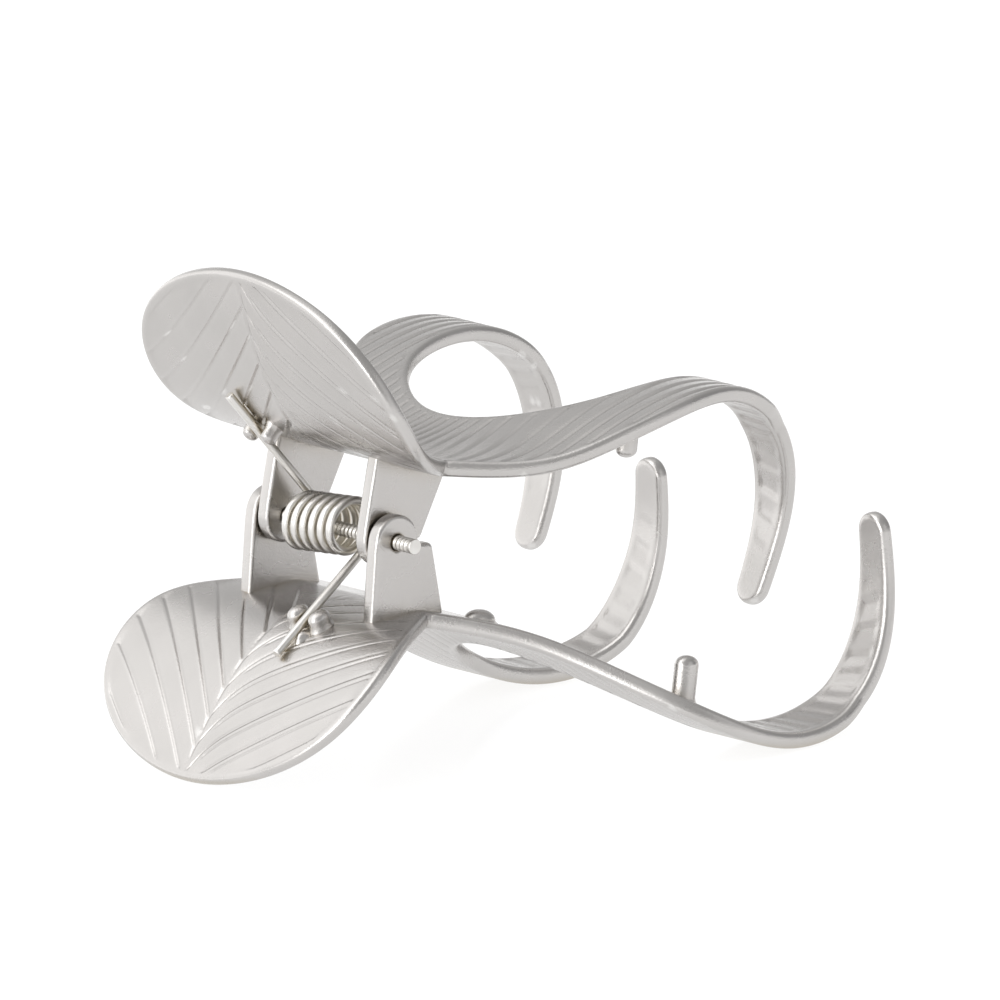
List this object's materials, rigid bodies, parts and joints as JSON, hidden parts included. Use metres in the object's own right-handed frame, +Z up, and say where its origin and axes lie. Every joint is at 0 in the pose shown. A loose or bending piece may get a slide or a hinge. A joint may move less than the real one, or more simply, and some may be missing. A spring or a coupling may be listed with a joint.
{
  "type": "hair claw clip",
  "caption": "Sprung hair claw: two cast halves with leaf-shaped finger pads and long curved tines, joined by a hinge pin and a torsion spring that holds it shut.",
  "frame": {"origin": "on the surface the clip rests on, under the middle of its bounding box", "axes": "+Z up; +X from the finger pads towards the jaws; the hinge runs along Y"},
  "size_m": [0.0758, 0.067, 0.0556],
  "materials": {
    "plated_casting": "matte silver plating over cast zinc",
    "pin_steel": "plated, threaded",
    "spring_wire": "plated spring wire, satin"
  },
  "bodies": {
    "lower_half": {"lower_jaw": "plated_casting", "hinge_pin": "pin_steel", "torsion_spring": "spring_wire"},
    "upper_half": {"upper_jaw": "plated_casting"}
  },
  "joints": [
    {"name": "claw_open", "type": "hinge", "parent": "lower_half", "child": "upper_half", "pos_m": [-0.01572, 0, 0.02502], "axis": [0, -1, 0], "range_deg": [0, 85], "stiffness_Nm_per_rad": 0.09, "springref_deg": -20.05, "deforming": ["torsion_spring"]}
  ]
}
